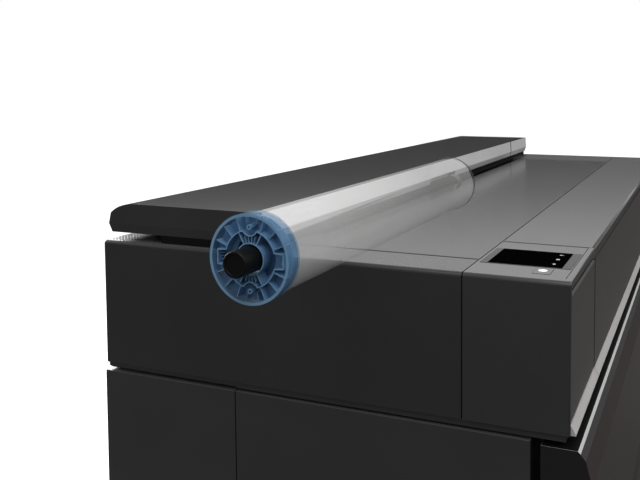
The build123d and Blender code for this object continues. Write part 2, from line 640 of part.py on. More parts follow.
# ---------------------------------------------------------------- scanner
ROLLER_S = 300.0
ROLLER_Z = SCAN_BOTTOM - 6.2
ROLLER_X = (120.0, 1690.0)
KNUCKLE_X = ((126.0, 134.0), (1716.0, 1724.0))
BRACKET_X = (114.0, 1726.0)
BASE_BACK = 127.0
GRIP_X = (826.0, 1034.0)   # finger recess under the scanner's front edge
GRIP_BACK = 326.0


def rear_curve(inset, steps=8):
    """The rounded rear top edge of the scanner, from its rear face up to its flat top."""
    low = (SCAN_BACK + 5 + inset, SCAN_TOP - 18.5 - inset * 0.6)
    bend = (SCAN_BACK + 23 + inset / 2, SCAN_TOP - 2.5 - inset)
    high = (SCAN_BACK + 52, SCAN_TOP - inset)
    points = []
    for step in range(steps + 1):
        share = step / steps
        weights = ((1 - share) ** 2, 2 * share * (1 - share), share ** 2)
        points.append(tuple(sum(weight * end[axis] for weight, end in zip(weights, (low, bend, high)))
                            for axis in (0, 1)))
    return points


def scanner_outline(inset):
    """End view of the scanner, with a crease along both long sides."""
    return [(SCAN_BACK, SCAN_CREASE), (SCAN_BACK + SCAN_LEAN, SCAN_BOTTOM),
            (SCAN_FRONT - SCAN_LEAN, SCAN_BOTTOM), (SCAN_FRONT, SCAN_CREASE),
            (SCAN_FRONT - 2, SCAN_TOP)] + rear_curve(0)[::-1] if inset == 0 else [
            (SCAN_BACK + inset, SCAN_CREASE), (SCAN_BACK + SCAN_LEAN + inset, SCAN_BOTTOM - 1),
            (SCAN_FRONT - SCAN_LEAN - inset, SCAN_BOTTOM - 1), (SCAN_FRONT - inset, SCAN_CREASE),
            (SCAN_FRONT - 2 - inset, SCAN_TOP - inset)] + rear_curve(inset)[::-1]


def scanner_shell(along):
    """One length of the scanner's casing, closed at both ends and open below."""
    bar(scanner_outline(0), along)
    for end, side in ((SCAN_INSET, 1), (LENGTH - SCAN_INSET, -1)):
        if end in along:
            slab([(end, SCAN_CREASE), (end + SCAN_LEAN * side, SCAN_BOTTOM),
                  (end + SCAN_LEAN * side, SCAN_BOTTOM - 1), (end - side, SCAN_BOTTOM - 1),
                  (end - side, SCAN_CREASE)], (SCAN_BACK - 1, SCAN_FRONT + 1), mode=Mode.SUBTRACT)
    bar(scanner_outline(WALL), (along[0] + WALL + SCAN_LEAN, along[1] - WALL - SCAN_LEAN), mode=Mode.SUBTRACT)


def knuckle(along):
    """A bored lug inside the scanner's casing, round the hinge pin."""
    block(along, (20, 46), (SCAN_BOTTOM + 2, SCAN_TOP - 16))
    block(along, (SCAN_BACK + WALL, 46), (SCAN_TOP - 22, SCAN_TOP - 18))
    rod((along[0] - 1, along[1] + 1), *SCAN_AXIS, 4 + RUN, mode=Mode.SUBTRACT)


with BuildPart() as scanner_cover:
    scanner_shell((SCAN_INSET, SCAN_SPLIT - SEAM / 2))
    knuckle(KNUCKLE_X[0])
    block((GRIP_X[0] - WALL, GRIP_X[1] + WALL), (GRIP_BACK - WALL, SCAN_FRONT - SCAN_LEAN),
          (SCAN_BOTTOM, SCAN_CREASE + WALL))
    block(GRIP_X, (GRIP_BACK, SCAN_FRONT + 1), (SCAN_BOTTOM - 1, SCAN_CREASE), mode=Mode.SUBTRACT)
save(scanner_cover, "scanner_cover")

with BuildPart() as scanner_end_cap:
    scanner_shell((SCAN_SPLIT + SEAM / 2, LENGTH - SCAN_INSET))
    knuckle(KNUCKLE_X[1])
save(scanner_end_cap, "scanner_end_cap")

with BuildPart() as scanner_sensor_bar:
    block(ROLLER_X, (200, 250), (SCAN_BOTTOM + 3, SCAN_TOP - WALL))
    block((ROLLER_X[0] + 20, ROLLER_X[1] - 20), (221, 229), (SCAN_BOTTOM + 2, SCAN_BOTTOM + 5),
          mode=Mode.SUBTRACT)
save(scanner_sensor_bar, "scanner_sensor_bar")

with BuildPart() as scanner_base:
    block(DECK_X, (6, SLOT_BACK), (DECK - WALL, DECK))
    block((SCAN_INSET + 3, LENGTH - SCAN_INSET - 3), (BASE_BACK, SCAN_FRONT - 9), (DECK, SCAN_BOTTOM - 0.5))
    block(ROLLER_X, (ROLLER_S - 9, ROLLER_S + 9), (DECK + 1, SCAN_BOTTOM), mode=Mode.SUBTRACT)
    rod((ROLLER_X[0] - 9, ROLLER_X[1] + 9), ROLLER_S, ROLLER_Z, 3 + RUN, mode=Mode.SUBTRACT)
    for along in BRACKET_X:
        block((along, along + 10), (25, 46), (DECK, SCAN_AXIS[1] + 12))
        rod((along - 1, along + 11), *SCAN_AXIS, 4, mode=Mode.SUBTRACT)
save(scanner_base, "scanner_base")

with BuildPart() as scanner_roller:
    rod((ROLLER_X[0] + 4, ROLLER_X[1] - 4), ROLLER_S, ROLLER_Z, 5.5)
    rod((ROLLER_X[0] - 8, ROLLER_X[1] + 8), ROLLER_S, ROLLER_Z, 3)
save(scanner_roller, "scanner_roller")

with BuildPart() as hinge_pins:
    rod((BRACKET_X[0], KNUCKLE_X[0][1] + 4), *SCAN_AXIS, 4)
    rod((KNUCKLE_X[1][0] - 4, BRACKET_X[1] + 10), *SCAN_AXIS, 4)
    rod((MODULE_X[1] - 4, COVER_X[0] + WALL + 1), *COVER_AXIS, 2.5)
    rod((COVER_X[1] - WALL - 1, HOUSING_R_X[0] + 4), *COVER_AXIS, 2.5)
    post(*DOOR_PIN, (DOOR_Z[1] - 12, DECK - WALL - 1), 2)
    post(*DOOR_PIN, (UPPER_FLOOR + 5, DOOR_Z[0] + 12), 2)
save(hinge_pins, "hinge_pins")

# ---------------------------------------------------------------- spindle resting on the deck
with BuildPart() as resting_spindle:
    rod((-OVERHANG, FLANGE_X[1] + 31), ROLL_BACK, ROLL_AXIS, SPINDLE_R)
    rod(FLANGE_X, ROLL_BACK, ROLL_AXIS, HUB_R)
save(resting_spindle, "resting_spindle")

with BuildPart() as resting_hub:
    rod(HUB_X, ROLL_BACK, ROLL_AXIS, HUB_R)
    rod((HUB_X[0] - 1, HUB_X[0] + 18), ROLL_BACK, ROLL_AXIS, HUB_R - 5, mode=Mode.SUBTRACT)
    rod((HUB_X[0] + 2, HUB_X[1] + 30), ROLL_BACK, ROLL_AXIS, CORE_R - AIR)
    rod((HUB_X[0], HUB_X[0] + 16), ROLL_BACK, ROLL_AXIS, CORE_R - 4, mode=Mode.SUBTRACT)
    rod((HUB_X[0] + 4, HUB_X[0] + 20), ROLL_BACK, ROLL_AXIS, 24)
    rod((HUB_X[0] - 1, HUB_X[1] + 31), ROLL_BACK, ROLL_AXIS, SPINDLE_R + RUN, mode=Mode.SUBTRACT)
save(resting_hub, "resting_hub")

with BuildPart() as resting_paper_roll:
    rod((HUB_X[1], FLANGE_X[0]), ROLL_BACK, ROLL_AXIS, PAPER_R)
    rod((HUB_X[1] - 1, FLANGE_X[0] + 1), ROLL_BACK, ROLL_AXIS, CORE_R, mode=Mode.SUBTRACT)
save(resting_paper_roll, "resting_paper_roll")
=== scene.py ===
import json
import math

import bpy
from mathutils import Matrix, Vector


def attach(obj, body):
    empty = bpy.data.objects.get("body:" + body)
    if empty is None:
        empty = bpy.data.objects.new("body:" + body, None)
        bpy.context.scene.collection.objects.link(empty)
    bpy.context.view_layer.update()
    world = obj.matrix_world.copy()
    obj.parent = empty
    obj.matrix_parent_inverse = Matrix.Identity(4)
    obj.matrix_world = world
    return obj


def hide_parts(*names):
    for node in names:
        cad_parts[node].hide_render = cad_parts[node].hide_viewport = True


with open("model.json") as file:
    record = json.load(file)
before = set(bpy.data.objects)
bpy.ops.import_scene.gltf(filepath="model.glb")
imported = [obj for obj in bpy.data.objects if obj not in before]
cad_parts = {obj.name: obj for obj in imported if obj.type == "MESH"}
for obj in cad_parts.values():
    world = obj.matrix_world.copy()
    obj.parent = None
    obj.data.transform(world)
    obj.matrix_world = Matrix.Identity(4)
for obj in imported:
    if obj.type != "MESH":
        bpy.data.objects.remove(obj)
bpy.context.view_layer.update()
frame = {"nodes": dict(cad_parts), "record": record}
nodes = frame["nodes"]
MM = 0.001
X_LEFT, Y_REAR = -836.0, 462.5     # left end and rear face of the machine, in mm


def spot(along, forward, up):
    """The point, in metres, this far from the left end, from the rear face and from the floor."""
    return Vector(((X_LEFT + along) * MM, (Y_REAR - forward) * MM, up * MM))


# ---------------------------------------------------------------- camera, floor, light
CAMERA_PLACE = Vector((-1.8963, -0.6129, 1.3923))
CAMERA_YAW = 19.72                 # degrees to the left of straight along +X
CAMERA_PITCH = -3.12
CAMERA_LENS = 40.79
CAMERA_SHIFT = (-0.20, -0.18)
CAMERA_SENSOR = 36.0
CAMERA_CLIP = (0.02, 60.0)


def make_camera():
    """The camera at the photograph's viewing angle."""
    data = bpy.data.cameras.new("camera")
    data.lens = CAMERA_LENS
    data.sensor_width = CAMERA_SENSOR
    data.shift_x, data.shift_y = CAMERA_SHIFT
    data.clip_start, data.clip_end = CAMERA_CLIP
    camera = bpy.data.objects.new("camera", data)
    camera.location = CAMERA_PLACE
    camera.rotation_mode = "QUATERNION"
    tilt = math.radians(CAMERA_PITCH)
    turn = Matrix.Rotation(math.radians(CAMERA_YAW), 3, "Z")
    look = turn @ Vector((math.cos(tilt), 0, math.sin(tilt)))
    camera.rotation_quaternion = look.to_track_quat("-Z", "Y")
    bpy.context.scene.collection.objects.link(camera)
    bpy.context.scene.camera = camera


# name, place, the point it is aimed at, size and power of each softbox, in metres and watts
SOFTBOXES = (
    ("key_softbox", (-1.7, -0.7, 3.0), (-0.7, -0.2, 1.1), (1.6, 1.2), 26),
    ("front_softbox", (0.6, -3.0, 3.2), (0.4, 0.1, 1.1), (3.4, 1.0), 60),
    ("rear_softbox", (0.4, 3.4, 2.2), (0.2, 0, 0.8), (3.5, 1.6), 110),
)


def area_light(name, place, target, size, power):
    """A rectangular softbox aimed at a point."""
    data = bpy.data.lights.new(name, "AREA")
    data.shape = "RECTANGLE"
    data.size, data.size_y = size
    data.energy = power
    light = bpy.data.objects.new(name, data)
    light.location = place
    light.rotation_mode = "QUATERNION"
    light.rotation_quaternion = (Vector(target) - Vector(place)).to_track_quat("-Z", "Y")
    bpy.context.scene.collection.objects.link(light)


# brightness of the studio by the sine of the height above the horizon
STUDIO = ((0.0, 0.02), (0.10, 0.035), (0.16, 0.07), (0.19, 0.40), (0.23, 1.25), (0.30, 1.25),
          (0.5, 0.8), (1.0, 0.6))


def make_world():
    """White behind the object; the light on it comes from a studio that darkens to the horizon."""
    world = bpy.data.worlds.new("studio")
    bpy.context.scene.world = world
    world.use_nodes = True
    tree = world.node_tree
    make, join = tree.nodes.new, tree.links.new
    studio = tree.nodes["Background"]
    place = make("ShaderNodeTexCoord")
    split = make("ShaderNodeSeparateXYZ")
    join(place.outputs["Generated"], split.inputs["Vector"])
    ramp = make("ShaderNodeValToRGB")
    while len(ramp.color_ramp.elements) < len(STUDIO):
        ramp.color_ramp.elements.new(0.5)
    for element, (height, level) in zip(ramp.color_ramp.elements, STUDIO):
        element.position = height
        element.color = (level, level, level, 1)
    join(split.outputs["Z"], ramp.inputs["Fac"])
    join(ramp.outputs["Color"], studio.inputs["Color"])
    backdrop = make("ShaderNodeBackground")
    backdrop.inputs["Color"].default_value = (1, 1, 1, 1)
    seen = make("ShaderNodeLightPath")
    mix = make("ShaderNodeMixShader")
    join(seen.outputs["Is Camera Ray"], mix.inputs["Fac"])
    join(studio.outputs["Background"], mix.inputs[1])
    join(backdrop.outputs["Background"], mix.inputs[2])
    join(mix.outputs["Shader"], tree.nodes["World Output"].inputs["Surface"])


FLOOR_HALF = 14.0
FLOOR_ROUGH = 0.9
FLOOR_GLOW = 0.52
FLOOR_SEEN = (0.86, 0.86, 0.86, 1)      # its tone in the picture
FLOOR_BOUNCE = (0.13, 0.13, 0.13, 1)    # its tone in what it lights and in reflections


def make_floor():
    """A pale floor that is lifted to the backdrop's white where nothing shades it."""
    mesh = bpy.data.meshes.new("floor")
    half = FLOOR_HALF
    corners = [(-half, -half, 0), (half, -half, 0), (half, half, 0), (-half, half, 0)]
    mesh.from_pydata(corners, [], [(0, 1, 2, 3)])
    floor = bpy.data.objects.new("floor", mesh)
    bpy.context.scene.collection.objects.link(floor)
    material = bpy.data.materials.new("floor")
    material.use_nodes = True
    tree = material.node_tree
    shader = tree.nodes["Principled BSDF"]
    shader.inputs["Roughness"].default_value = FLOOR_ROUGH
    shader.inputs["Emission Color"].default_value = (1, 1, 1, 1)
    seen = tree.nodes.new("ShaderNodeLightPath")
    tint = tree.nodes.new("ShaderNodeMix")
    tint.data_type = "RGBA"
    tint.inputs["A"].default_value = FLOOR_BOUNCE
    tint.inputs["B"].default_value = FLOOR_SEEN
    tree.links.new(seen.outputs["Is Camera Ray"], tint.inputs["Factor"])
    tree.links.new(tint.outputs["Result"], shader.inputs["Base Color"])
    lift = tree.nodes.new("ShaderNodeMath")
    lift.operation = "MULTIPLY"
    lift.inputs[1].default_value = FLOOR_GLOW
    tree.links.new(seen.outputs["Is Camera Ray"], lift.inputs[0])
    tree.links.new(lift.outputs[0], shader.inputs["Emission Strength"])
    mesh.materials.append(material)


make_camera()
make_world()
make_floor()
for softbox in SOFTBOXES:
    area_light(*softbox)
bpy.context.scene.view_settings.view_transform = "Standard"


# ---------------------------------------------------------------- materials
def blank(name):
    """A material with its tree, its shader and object coordinates in metres."""
    material = bpy.data.materials.new(name)
    material.use_nodes = True
    tree = material.node_tree
    place = tree.nodes.new("ShaderNodeTexCoord")
    return material, tree, tree.nodes["Principled BSDF"], place


def noise(tree, coords, scale, detail=3.0, stretch=(1, 1, 1)):
    """Noise over the surface; stretch squeezes it along an axis."""
    mapping = tree.nodes.new("ShaderNodeMapping")
    mapping.inputs["Scale"].default_value = stretch
    tree.links.new(coords, mapping.inputs["Vector"])
    texture = tree.nodes.new("ShaderNodeTexNoise")
    texture.inputs["Scale"].default_value = scale
    texture.inputs["Detail"].default_value = detail
    tree.links.new(mapping.outputs["Vector"], texture.inputs["Vector"])
    return texture.outputs["Fac"]


def spread(tree, value, low, high, start=0.3, stop=0.7):
    """Maps a value to a range, for roughness and masks."""
    node = tree.nodes.new("ShaderNodeMapRange")
    node.inputs["From Min"].default_value = start
    node.inputs["From Max"].default_value = stop
    node.inputs["To Min"].default_value = low
    node.inputs["To Max"].default_value = high
    tree.links.new(value, node.inputs["Value"])
    return node.outputs["Result"]


def tones(tree, value, low, high, start=0.3, stop=0.7):
    """Blends two colours by a value."""
    node = tree.nodes.new("ShaderNodeValToRGB")
    first, last = node.color_ramp.elements
    first.position, first.color = start, (*low, 1)
    last.position, last.color = stop, (*high, 1)
    tree.links.new(value, node.inputs["Fac"])
    return node.outputs["Color"]


def blend_colors(tree, share, first, second):
    """Mixes two colour sockets by a share."""
    node = tree.nodes.new("ShaderNodeMix")
    node.data_type = "RGBA"
    tree.links.new(share, node.inputs["Factor"])
    tree.links.new(first, node.inputs["A"])
    tree.links.new(second, node.inputs["B"])
    return node.outputs["Result"]


def bump(tree, height, distance, normal=None):
    """A normal raised by a height, on top of another normal if one is given."""
    node = tree.nodes.new("ShaderNodeBump")
    node.inputs["Distance"].default_value = distance
    tree.links.new(height, node.inputs["Height"])
    if normal is not None:
        tree.links.new(normal, node.inputs["Normal"])
    return node.outputs["Normal"]


def shade(color, factor):
    """A colour made lighter or darker."""
    return tuple(part * factor for part in color)


def patchy(tree, coords, color, vary, scale=6.0):
    """A colour with faint cloudy patches."""
    return tones(tree, noise(tree, coords, scale), shade(color, 1 - vary), shade(color, 1 + vary))


# how far the grain takes the roughness below and above its value
ROUGH_LESS, ROUGH_MORE = 0.05, 0.06


def painted(name, color, rough=0.42, grain=1400, depth=0.00005, vary=0.10, metallic=0.0, gloss=0.5,
            stretch=(1, 1, 1)):
    """Paint or moulded plastic with a fine grain, faint patches and uneven gloss."""
    material, tree, shader, place = blank(name)
    coords = place.outputs["Object"]
    tree.links.new(patchy(tree, coords, color, vary), shader.inputs["Base Color"])
    fine = noise(tree, coords, grain, 2.0, stretch)
    tree.links.new(spread(tree, fine, rough - ROUGH_LESS, rough + ROUGH_MORE), shader.inputs["Roughness"])
    tree.links.new(bump(tree, fine, depth), shader.inputs["Normal"])
    shader.inputs["Metallic"].default_value = metallic
    shader.inputs["Specular IOR Level"].default_value = gloss
    return material


STUD_PITCH = 0.0052
STUD_RIM = (0.20, 0.38)            # where a stud's top ends and its foot starts, in pitches
STUD_HEIGHT = 0.00012
STUD_TONES = (0.6, 1.3)            # tone between the studs and on top of them


def studs(tree, coords):
    """A close diagonal grid of low round studs, 0 between them and 1 on top."""
    mapping = tree.nodes.new("ShaderNodeMapping")
    mapping.inputs["Rotation"].default_value = (0, 0, math.radians(45))
    mapping.inputs["Scale"].default_value = (1 / STUD_PITCH, 1 / STUD_PITCH, 0.0)
    tree.links.new(coords, mapping.inputs["Vector"])
    cells = tree.nodes.new("ShaderNodeTexVoronoi")
    cells.voronoi_dimensions = "2D"
    cells.inputs["Randomness"].default_value = 0.0
    cells.inputs["Scale"].default_value = 1.0
    tree.links.new(mapping.outputs["Vector"], cells.inputs["Vector"])
    return spread(tree, cells.outputs["Distance"], 1.0, 0.0, *STUD_RIM)


def along_axis(tree, vector, axis):
    """The part of a vector along one axis."""
    split = tree.nodes.new("ShaderNodeSeparateXYZ")
    tree.links.new(vector, split.inputs["Vector"])
    return split.outputs[axis]


def facing(tree, place, axis, low, high):
    """1 where the surface faces along an axis of the object, 0 elsewhere."""
    return spread(tree, along_axis(tree, place.outputs["Normal"], axis), 0.0, 1.0, low, high)


def times(tree, first, second):
    """The product of two values."""
    node = tree.nodes.new("ShaderNodeMath")
    node.operation = "MULTIPLY"
    tree.links.new(first, node.inputs[0])
    tree.links.new(second, node.inputs[1])
    return node.outputs[0]


DECK_NEAR, DECK_FAR = -0.70, 0.90  # painted reflection: the deck's tone is painted lighter at its left end and falls to its right
DECK_REFLECTION_FADE = 9.5
FRONT_PAINTED_SHADE = (0.0205, 0.0148, 0.0138)    # painted shade: the darker, warm tone painted on the faces towards the front
BAND = (0.035, 0.034, 0.034)       # the narrow slope below a drawer's edge
GRAIN = 1500                       # fineness of the casing's grain
GRAIN_DEPTH, SCANNER_DEPTH = 0.00002, 0.00001
PATCHES, FAINT, FAINTER = 0.08, 0.05, 0.04         # how strongly the tone varies
SIDE_ROUGH = 0.36
UNEVEN = (0.9, 1.12)               # what the grain multiplies the roughness by
# the part of a face's normal along an axis, from where a tone starts to where it is full
UPWARD, FRONT_SHADE_REACH, FRONT_LIGHT_REACH = (0.80, 0.98), (-0.90, -0.98), (-0.90, -0.95)
# the second reach is where the painted highlight sits on a drawer's edge
ON_SLOPE, ON_EDGE_HIGHLIGHT = (0.45, 0.55), (0.665, 0.69)


def casing(name, color, top, gloss=0.36, dots=False, top_rough=0.19, rim=None):
    """Moulded casing: dark sides, the front painted a darker warm tone as painted shade, the top painted in
    its own tone as painted light and shade, and where rim is set a painted highlight along a drawer's edge;
    studded where dots is set.
    """
    material, tree, shader, place = blank(name)
    coords = place.outputs["Object"]
    upward = facing(tree, place, "Z", *UPWARD)
    # painted shade: the faces towards the front are painted a darker, warm tone
    side = blend_colors(tree, facing(tree, place, "Y", *FRONT_SHADE_REACH),
                        patchy(tree, coords, color, PATCHES), patchy(tree, coords, FRONT_PAINTED_SHADE, PATCHES))
    if rim:
        # drawer fronts: the slope takes the band tone, and the pale stripe where it meets the top is a
        # painted highlight
        for reach, tone in ((ON_SLOPE, BAND), (ON_EDGE_HIGHLIGHT, rim)):
            side = blend_colors(tree, facing(tree, place, "Z", *reach), side,
                                patchy(tree, coords, tone, FAINTER))
    fine = noise(tree, coords, GRAIN, 2.0)
    normal = bump(tree, fine, GRAIN_DEPTH)
    if dots:
        grid = studs(tree, coords)
        # painted reflection: the studs' tones are lifted many times towards the deck's left end and fall to
        # its right
        near = spread(tree, along_axis(tree, coords, "X"), 1.0, 0.0, DECK_NEAR, DECK_FAR)
        low, high = (tones(tree, near, shade(top, scale), shade(top, scale * DECK_REFLECTION_FADE), 0.0, 1.0)
                     for scale in STUD_TONES)
        painted_top = blend_colors(tree, grid, low, high)
        normal = bump(tree, times(tree, grid, upward), STUD_HEIGHT, normal)
    else:
        painted_top = patchy(tree, coords, top, FAINT)
    # the tops take the painted top tone: painted light on the casing, painted shade on the drawer tops under
    # the sill
    tree.links.new(blend_colors(tree, upward, side, painted_top), shader.inputs["Base Color"])
    level = spread(tree, upward, SIDE_ROUGH, top_rough, 0.0, 1.0)
    tree.links.new(times(tree, level, spread(tree, fine, *UNEVEN)), shader.inputs["Roughness"])
    tree.links.new(normal, shader.inputs["Normal"])
    shader.inputs["Specular IOR Level"].default_value = gloss
    return material


CREASE = 1.131                     # height of the crease along the scanner's front
CREASE_BLEND = 0.0004
SPLIT_AT = 0.866                   # where the scanner's right end cap starts
SPLIT_HALF = 0.0045
SCANNER_GLOSS = 0.30
SCANNER_ROUGH = (0.10, 0.14)


def scanner_casing(name, color, front, below):
    """Dark scanner casing with its front faces painted pale as painted light, painted shade under the crease,
    and a dark joint where the right end cap starts.
    """
    material, tree, shader, place = blank(name)
    coords = place.outputs["Object"]
    # painted light on the front faces: a pale tone above the crease and painted shade below it
    strip = facing(tree, place, "Y", *FRONT_LIGHT_REACH)
    above = spread(tree, along_axis(tree, coords, "Z"), 0.0, 1.0,
                   CREASE - CREASE_BLEND, CREASE + CREASE_BLEND)
    body = patchy(tree, coords, color, PATCHES)
    pale = blend_colors(tree, above, patchy(tree, coords, below, FAINTER),
                        patchy(tree, coords, front, FAINTER))
    joint = tree.nodes.new("ShaderNodeMath")
    joint.operation = "COMPARE"
    joint.inputs[1].default_value, joint.inputs[2].default_value = SPLIT_AT, SPLIT_HALF
    tree.links.new(along_axis(tree, coords, "X"), joint.inputs[0])
    pale = blend_colors(tree, joint.outputs[0], pale, patchy(tree, coords, shade(color, 0.2), FAINTER))
    tree.links.new(blend_colors(tree, strip, body, pale), shader.inputs["Base Color"])
    fine = noise(tree, coords, GRAIN, 2.0)
    tree.links.new(spread(tree, fine, *SCANNER_ROUGH), shader.inputs["Roughness"])
    tree.links.new(bump(tree, fine, SCANNER_DEPTH), shader.inputs["Normal"])
    shader.inputs["Specular IOR Level"].default_value = SCANNER_GLOSS
    return material


PAPER_NEAR, PAPER_FAR = -0.98, -0.55   # the paper's tone changes between these places
SKIN_PATCHES = 40.0
SKIN_GRAIN, SKIN_DEPTH = 900, 0.00003


def one_sided(tree, shader, opacity):
    """Shows only the front of each face, and casts no shadow, so a thin skin counts once."""
    side = tree.nodes.new("ShaderNodeNewGeometry")
    node = tree.nodes.new("ShaderNodeMath")
    node.operation = "MULTIPLY_ADD"
    node.inputs[1].default_value = -opacity
    node.inputs[2].default_value = opacity
    tree.links.new(side.outputs["Backfacing"], node.inputs[0])
    path = tree.nodes.new("ShaderNodeLightPath")
    tree.links.new(times(tree, node.outputs[0], path.outputs["Is Camera Ray"]), shader.inputs["Alpha"])


def clear(name, color, opacity, rough, vary=0.10, single=False, gloss=0.2, right=None):
    """See-through plastic or paper; single hides the backs of its faces, right is its right end's tone."""
    material, tree, shader, place = blank(name)
    coords = place.outputs["Object"]
    tint = patchy(tree, coords, color, vary, SKIN_PATCHES)
    if right:
        share = spread(tree, along_axis(tree, coords, "X"), 0.0, 1.0, PAPER_NEAR, PAPER_FAR)
        tint = blend_colors(tree, share, tint, patchy(tree, coords, right, vary, SKIN_PATCHES))
    tree.links.new(tint, shader.inputs["Base Color"])
    fine = noise(tree, coords, SKIN_GRAIN, 2.0)
    tree.links.new(spread(tree, fine, rough - 0.04, rough + 0.05), shader.inputs["Roughness"])
    tree.links.new(bump(tree, fine, SKIN_DEPTH), shader.inputs["Normal"])
    shader.inputs["Specular IOR Level"].default_value = gloss
    if single:
        one_sided(tree, shader, opacity)
        material.use_backface_culling = True
    else:
        shader.inputs["Alpha"].default_value = opacity
    return material


# the second tone is the tops' tone, painted lighter than the sides as painted light
DARK, TOP_PAINTED_LIGHT = (0.026, 0.026, 0.0261), (0.05, 0.05, 0.05)
MATERIALS = {
    "casing_dark": casing("casing_paint", DARK, TOP_PAINTED_LIGHT),
    "deck_textured": casing("deck_studs", DARK, (0.0085, 0.0085, 0.0085), gloss=0.18, dots=True,
                            top_rough=0.14),
    # the pale front tone is painted light and the lower one painted shade under the crease
    "scanner_dark": scanner_casing("scanner_paint", (0.029, 0.029, 0.029), (0.55, 0.55, 0.55),
                                   (0.32, 0.32, 0.32)),
    "cover_dark": casing("cover_paint", (0.018, 0.0155, 0.0152), TOP_PAINTED_LIGHT),
    "sill_light": painted("sill_paint", (0.36, 0.35, 0.345), 0.40, vary=0.05),
    "chassis_steel": painted("powder_coat", (0.06, 0.06, 0.065), 0.55, grain=700, depth=0.0001),
    "bright_steel": painted("ground_steel", (0.55, 0.55, 0.56), 0.32, grain=500, metallic=1.0,
                            stretch=(1, 12, 12)),
    "black_plastic": painted("black_plastic", (0.0022, 0.0022, 0.0023), 0.52, grain=900, gloss=0.12),
    "bezel_grey": painted("bezel_brushed", (0.020, 0.020, 0.021), 0.36, grain=900, stretch=(12, 1, 1)),
    "display_black": painted("display_glass", (0.0008, 0.0008, 0.0009), 0.50, grain=200, depth=0.000005,
                             gloss=0.0),
    "key_grey": casing("key_plastic", DARK, TOP_PAINTED_LIGHT),
    "hub_blue": clear("hub_blue", (0.10, 0.215, 0.38), 0.90, 0.34),
    "paper_white": clear("ghost_paper", (0.95, 0.945, 0.94), 0.27, 0.60, 0.02, single=True, gloss=0.0,
                         right=(0.53, 0.526, 0.522)),
    "paper_loaded": painted("roll_paper", (0.72, 0.71, 0.69), 0.62, grain=1200, vary=0.03),
    "roller_rubber": painted("ground_rubber", (0.020, 0.020, 0.021), 0.70, grain=1800, depth=0.0001),
    "belt_rubber": painted("belt_rubber", (0.015, 0.015, 0.015), 0.65, grain=1800, depth=0.0001),
    "wheel_tread": painted("wheel_tread", (0.030, 0.030, 0.032), 0.60, grain=1200, depth=0.0001),
    "ink_black": painted("ink_black", (0.012, 0.012, 0.012), 0.35),
    "ink_cyan": painted("ink_cyan", (0.01, 0.27, 0.50), 0.35),
    "ink_magenta": painted("ink_magenta", (0.50, 0.02, 0.20), 0.35),
    "ink_yellow": painted("ink_yellow", (0.72, 0.56, 0.02), 0.35),
}
# drawer paint: its top is painted near black as painted shade under the sill, and its rim tone is a painted
# highlight along the edge
DRAWER_PAINT = casing("drawer_paint", (0.014, 0.013, 0.013), (0.004, 0.004, 0.004), gloss=0.10,
                      top_rough=0.40, rim=(0.40, 0.40, 0.40))
HUB_SHELL = clear("hub_shell", (0.10, 0.22, 0.37), 0.36, 0.30)
# painted highlight: the hub's wall edges and rib fronts are painted a lighter blue
HUB_EDGE_HIGHLIGHT = clear("hub_edge_highlight", (0.15, 0.28, 0.43), 0.92, 0.34)
# painted shade: the hub's floors and bore bottoms are painted a darker blue
HUB_RECESS_SHADE = clear("hub_recess_shade", (0.035, 0.085, 0.175), 0.92, 0.40)
SCREEN_MARK = painted("screen_mark", (0.42, 0.42, 0.42), 0.5, grain=400, gloss=0.2)
LAMP_WHITE = painted("lamp_white", (0.92, 0.92, 0.92), 0.35, grain=400, vary=0.02)
FLANGE_SKIN = clear("flange_skin", (0.006, 0.006, 0.006), 1.0, 0.45, single=True, gloss=0.3)
SHAFT_BLACK = painted("shaft_black", (0.0035, 0.0035, 0.0035), 0.42, grain=800, gloss=0.12)

# how far edges are softened, in mm
EDGE = {"casing_dark": 0.6, "scanner_dark": 0.5, "cover_dark": 0.5, "deck_textured": 0.25, "sill_light": 0.5}
EDGE_OTHER = 0.4
EDGE_ANGLE = 40
WELD = 0.00001


def finish_nodes():
    """Every CAD node gets its material, joined corners and slightly softened edges."""
    slots = {row["node"]: row["material_slot"] for row in frame["record"]["subparts"]}
    slots["left_end_cover"] = "deck_textured"      # its top is studded like the deck and carries the deck's painted reflection
    for name, node in nodes.items():
        finish = DRAWER_PAINT if name.endswith("drawer_front") else MATERIALS[slots[name]]
        node.data.materials.clear()
        node.data.materials.append(finish)
        weld = node.modifiers.new("weld", "WELD")
        weld.merge_threshold = WELD
        soften = node.modifiers.new("edges", "BEVEL")
        soften.width = EDGE.get(slots[name], EDGE_OTHER) * MM
        soften.segments = 2
        soften.limit_method = "ANGLE"
        soften.angle_limit = math.radians(EDGE_ANGLE)
        soften.use_clamp_overlap = True
        soften.harden_normals = True


# ---------------------------------------------------------------- new pieces
SHARP = 0.6                        # faces that turn by more than this, in radians, keep a hard edge


